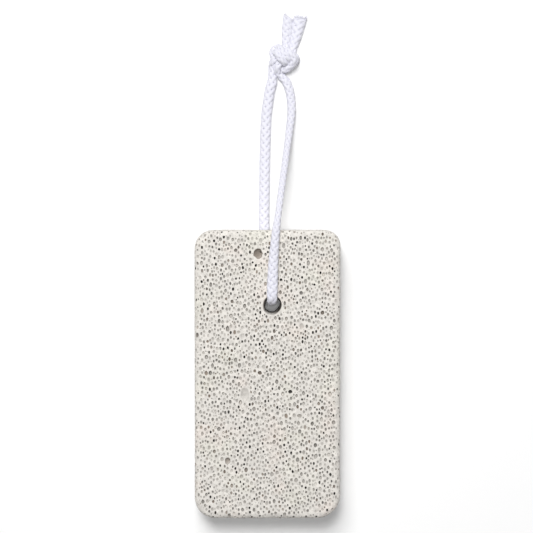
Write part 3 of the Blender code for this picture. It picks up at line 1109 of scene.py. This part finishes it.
# ======== materials
class Material:
    """A new material with one shader, and short ways to lay nodes in it."""

    def __init__(self, name, roughness, specular):
        self.made = bpy.data.materials.new(name)
        self.made.use_nodes = True
        self.nodes = self.made.node_tree.nodes
        self.links = self.made.node_tree.links
        self.nodes.clear()
        output = self.nodes.new("ShaderNodeOutputMaterial")
        self.shader = self.nodes.new("ShaderNodeBsdfPrincipled")
        self.links.new(self.shader.outputs["BSDF"], output.inputs["Surface"])
        self.set("Roughness", roughness)
        self.set("Specular IOR Level", specular)

    def set(self, name, value):
        self.feed(self.shader.inputs[name], value)

    def feed(self, socket, value):
        if isinstance(value, bpy.types.NodeSocket):
            self.links.new(value, socket)
        else:
            socket.default_value = value

    def node(self, kind, settings=(), values=(), **inputs):
        """A new node, its inputs fed in their own order or by name."""
        made = self.nodes.new("ShaderNode" + kind)
        for name, value in dict(settings).items():
            setattr(made, name, value)
        for place, value in [*enumerate(values), *inputs.items()]:
            self.feed(made.inputs[place], value)
        return made.outputs

    def math(self, operation, a, b=0.0):
        return self.node("Math", {"operation": operation}, (a, b))[0]

    def ramp(self, value, low, high, out_low=0.0, out_high=1.0):
        """A smooth step from one value to another."""
        settings = {"interpolation_type": "SMOOTHSTEP"}
        return self.node("MapRange", settings, (value, low, high, out_low, out_high))[0]

    def mix(self, factor, a, b, blend="MIX"):
        made = self.nodes.new("ShaderNodeMix")
        made.data_type = "RGBA"
        made.blend_type = blend
        for place, value in ((0, factor), (6, a), (7, b)):
            self.feed(made.inputs[place], value)
        return made.outputs[2]

    def noise(self, vector, scale, detail=2.0, roughness=0.5):
        inputs = {"Vector": vector, "Scale": scale, "Detail": detail, "Roughness": roughness}
        return self.node("TexNoise", **inputs)[0]

    def attribute(self, name):
        return self.node("Attribute", {"attribute_name": name})["Fac"]

    def millimetres(self, scale=(1.0, 1.0, 1.0), move=(0.0, 0.0, 0.0)):
        """The place on the object, counted in millimetres."""
        place = self.node("TexCoord")["Object"]
        scale = tuple(k / MM for k in scale)
        return self.node("Mapping", Vector=place, Scale=scale, Location=move)[0]

    def bump(self, height, distance, strength=1.0, **normal):
        inputs = {"Strength": strength, "Distance": distance * MM, "Height": height, **normal}
        return self.node("Bump", **inputs)[0]


CORD_WHITE = (0.728, 0.726, 0.794, 1.0)
# painted shade, faintly lavender, for the bundles' edges and the grooves between threads
CORD_PAINTED_SHADE = (0.67, 0.665, 0.765, 1.0)
# the core's colour is painted shadow in the gaps, paler where the core fills them near the tips
CORD_CORE_PAINTED_SHADOW = (0.45, 0.445, 0.49, 1.0)
CORD_FLUFF_PAINTED_SHADE = (0.7, 0.695, 0.78, 1.0)
THREADS_ACROSS = 9.0
THREADS_ALONG = 0.35
THREAD_HEIGHT = 0.035
BUNDLE_EDGE = (0.42, 0.76)


def cord_material():
    """White filaments laid in flat bundles, with faint lavender painted shade where they dip and between
    threads, over a core painted dark as shadow in the gaps.
    """
    m = Material("cord_braid", roughness=0.62, specular=0.35)
    split = m.node("SeparateXYZ", Vector=m.node("UVMap", {"uv_map": "Fibre"})[0])
    along, across = split[0], split[1]
    stretched = m.node(
        "CombineXYZ",
        X=m.math("MULTIPLY", along, THREADS_ALONG), Y=m.math("MULTIPLY", across, THREADS_ACROSS),
    )[0]
    threads = m.noise(stretched, 1.0, 2.0, 0.6)
    # painted shade: darker at the bundles' edges where they dip, and where the thread bump is low
    colour = m.mix(m.ramp(m.math("ABSOLUTE", across), *BUNDLE_EDGE), CORD_WHITE, CORD_PAINTED_SHADE)
    colour = m.mix(m.ramp(threads, 0.6, 0.3, 0.0, 0.35), colour, CORD_PAINTED_SHADE)
    # the core: painted shadow, paler where it fills the gaps
    core = m.math("LESS_THAN", across, CORE_BELOW)
    colour = m.mix(core, colour, m.mix(along, CORD_CORE_PAINTED_SHADOW, CORD_FLUFF_PAINTED_SHADE))
    m.set("Base Color", colour)
    m.set("Normal", m.bump(threads, THREAD_HEIGHT))
    m.set("Sheen Weight", 0.25)
    m.set("Sheen Roughness", 0.5)
    return m.made


LAND_GREY = (0.69, 0.662, 0.62, 1.0)
LAND_PINK = (0.722, 0.645, 0.592, 1.0)
LAND_GREEN = (0.68, 0.668, 0.58, 1.0)
# the colour of painted shade in the pores and the hole
PAINTED_SHADE_COLOUR = (0.01, 0.009, 0.008, 1.0)
# dirty brown in the pores, and the brown tint of the painted shadow in the hole
PORE_BROWN = (0.25, 0.175, 0.12, 1.0)
# painted shade for the pin holes
PIN_PAINTED_SHADE = (0.2, 0.185, 0.17, 1.0)
PINK_STRENGTH = 0.5
GREEN_STRENGTH = 0.42
DIRT_AND_SHADE_TINT_STRENGTH = 0.8
PIN_STRENGTH = 0.75
GREEN_SHIFT = (40.0, 70.0, 10.0)
PIN_STRETCH = (1.0, 0.72, 1.0)
PIN_WIDEST = 0.24
# noise scales, in features per millimetre
PINK_SCALE = 0.085
GREEN_SCALE = 0.07
MOTTLE_SCALE = 0.75
PIN_SCALE = 1.75
ROUGH_SCALE = 2.6
GRAIN_SCALE = 3.6
ROUGH_HEIGHT = 0.1
PIN_DEPTH = 0.12


def land_colour(m, place):
    """Chalky pale grey with faint pink and greenish patches, mottle and grain."""
    green = m.ramp(m.noise(m.millimetres(move=GREEN_SHIFT), GREEN_SCALE, 2.0, 0.55), 0.48, 0.72)
    pink = m.ramp(m.noise(place, PINK_SCALE, 2.0, 0.55), 0.5, 0.72)
    colour = m.mix(m.math("MULTIPLY", green, GREEN_STRENGTH), LAND_GREY, LAND_GREEN)
    colour = m.mix(m.math("MULTIPLY", pink, PINK_STRENGTH), colour, LAND_PINK)
    mottle = m.ramp(m.noise(place, MOTTLE_SCALE, 3.0, 0.65), 0.3, 0.7, 0.88, 1.1)
    grain = m.ramp(m.noise(place, GRAIN_SCALE, 2.0, 0.6), 0.25, 0.75, 0.91, 1.09)
    tone = m.math("MULTIPLY", mottle, grain)
    grey = m.node("CombineColor", Red=tone, Green=tone, Blue=tone)[0]
    return m.mix(1.0, colour, grey, "MULTIPLY")


def pin_holes(m, painted_shade):
    """Holes too small to model, on the land only: 1 inside, 0 outside."""
    place = m.millimetres(PIN_STRETCH)
    cells = m.node("TexVoronoi", {"feature": "F1"}, Vector=place, Scale=PIN_SCALE)
    size = m.node("SeparateColor", Color=cells["Color"])[0]
    reach = m.ramp(size, 0.3, 1.0, 0.0, PIN_WIDEST)
    pin = m.ramp(m.math("SUBTRACT", cells["Distance"], reach), 0.02, -0.1)
    return m.math("MULTIPLY", pin, m.ramp(painted_shade, 0.1, 0.0))


def stone_material():
    """The land, the pin holes in it painted dark, first a dirty brown in the pores and a brown tint in the
    hole's painted shadow, then painted shade for depth.
    """
    m = Material("pumice", roughness=0.95, specular=0.15)
    place, painted_shade = m.millimetres(), m.attribute("painted_shade")
    pin = pin_holes(m, painted_shade)
    # pin holes painted dark, painted shade for holes too small to model
    colour = m.mix(m.math("MULTIPLY", pin, PIN_STRENGTH), land_colour(m, place), PIN_PAINTED_SHADE)
    # dirty brown in the pores, and a brown tint in the hole's painted shadow
    dirt_and_shade_tint = m.math("MULTIPLY", m.attribute("brown"), m.ramp(painted_shade, 0.0, 0.35))
    colour = m.mix(m.math("MULTIPLY", dirt_and_shade_tint, DIRT_AND_SHADE_TINT_STRENGTH), colour, PORE_BROWN)
    # painted shade: pores and the hole's wall darkened towards near black
    m.set("Base Color", m.mix(painted_shade, colour, PAINTED_SHADE_COLOUR))
    rough = m.bump(m.noise(place, ROUGH_SCALE, 3.0, 0.65), ROUGH_HEIGHT, 0.8)
    m.set("Normal", m.bump(m.math("MULTIPLY", pin, -1.0), PIN_DEPTH, 0.9, Normal=rough))
    return m.made


# ======== the room
FLOOR_HALF = 3000.0
FLOOR_COLOUR = (0.9, 0.9, 0.9, 1.0)
# name, place in metres, diameter in metres, watts, where it points
LAMPS = (
    ("key", (-0.14, 0.52, 0.91), 0.52, 6.6, (0.0, 0.03, 0.0)),
    ("overhead", (-0.06, 0.29, 1.01), 0.24, 3.6, (0.0, 0.02, 0.0)),
    ("fill", (0.0, 0.02, 1.05), 0.14, 2.6, (0.0, 0.02, 0.0)),
)
SURROUND = (1.0, 1.0, 1.0, 1.0)
SURROUND_STRENGTH = 0.13


def make_floor():
    corners = [(-1, -1, 0), (1, -1, 0), (1, 1, 0), (-1, 1, 0)]
    floor = new_object("floor", np.array(corners) * FLOOR_HALF, [(0, 1, 2, 3)], smooth=False)
    material = Material("floor", roughness=0.9, specular=0.0)
    material.set("Base Color", FLOOR_COLOUR)
    floor.data.materials.append(material.made)


def make_light():
    for name, place, size, watts, aim in LAMPS:
        data = bpy.data.lights.new(name, "AREA")
        data.shape = "DISK"
        data.size = size
        data.energy = watts
        lamp = bpy.data.objects.new(name, data)
        bpy.context.scene.collection.objects.link(lamp)
        lamp.location = place
        lamp.rotation_euler = (Vector(aim) - Vector(place)).to_track_quat("-Z", "Y").to_euler()
    world = bpy.data.worlds.new("studio")
    bpy.context.scene.world = world
    world.use_nodes = True
    background = world.node_tree.nodes["Background"]
    background.inputs["Color"].default_value = SURROUND
    background.inputs["Strength"].default_value = SURROUND_STRENGTH


def make_camera():
    data = bpy.data.cameras.new("view")
    data.sensor_width = SENSOR_WIDTH
    data.lens = SENSOR_WIDTH * VIEW_DISTANCE / VIEW_WIDTH
    data.clip_start = 0.05
    data.clip_end = 10.0
    camera = bpy.data.objects.new("view", data)
    bpy.context.scene.collection.objects.link(camera)
    camera.location = (VIEW_X * MM, VIEW_Y * MM, (VIEW_PLANE_Z + VIEW_DISTANCE) * MM)
    bpy.context.scene.camera = camera
    bpy.context.scene.view_settings.view_transform = "Standard"


# ======== the whole scene
make_camera()
make_light()
make_floor()

stone = make_stone()
stone.data.materials.append(stone_material())
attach(stone, "root")
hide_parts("stone")

cord, cord_path, cord_length = make_cord()
cord.data.materials.append(cord_material())
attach(cord, "root")
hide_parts("cord_loop", "cord_knot", "cord_tail_left", "cord_tail_right")
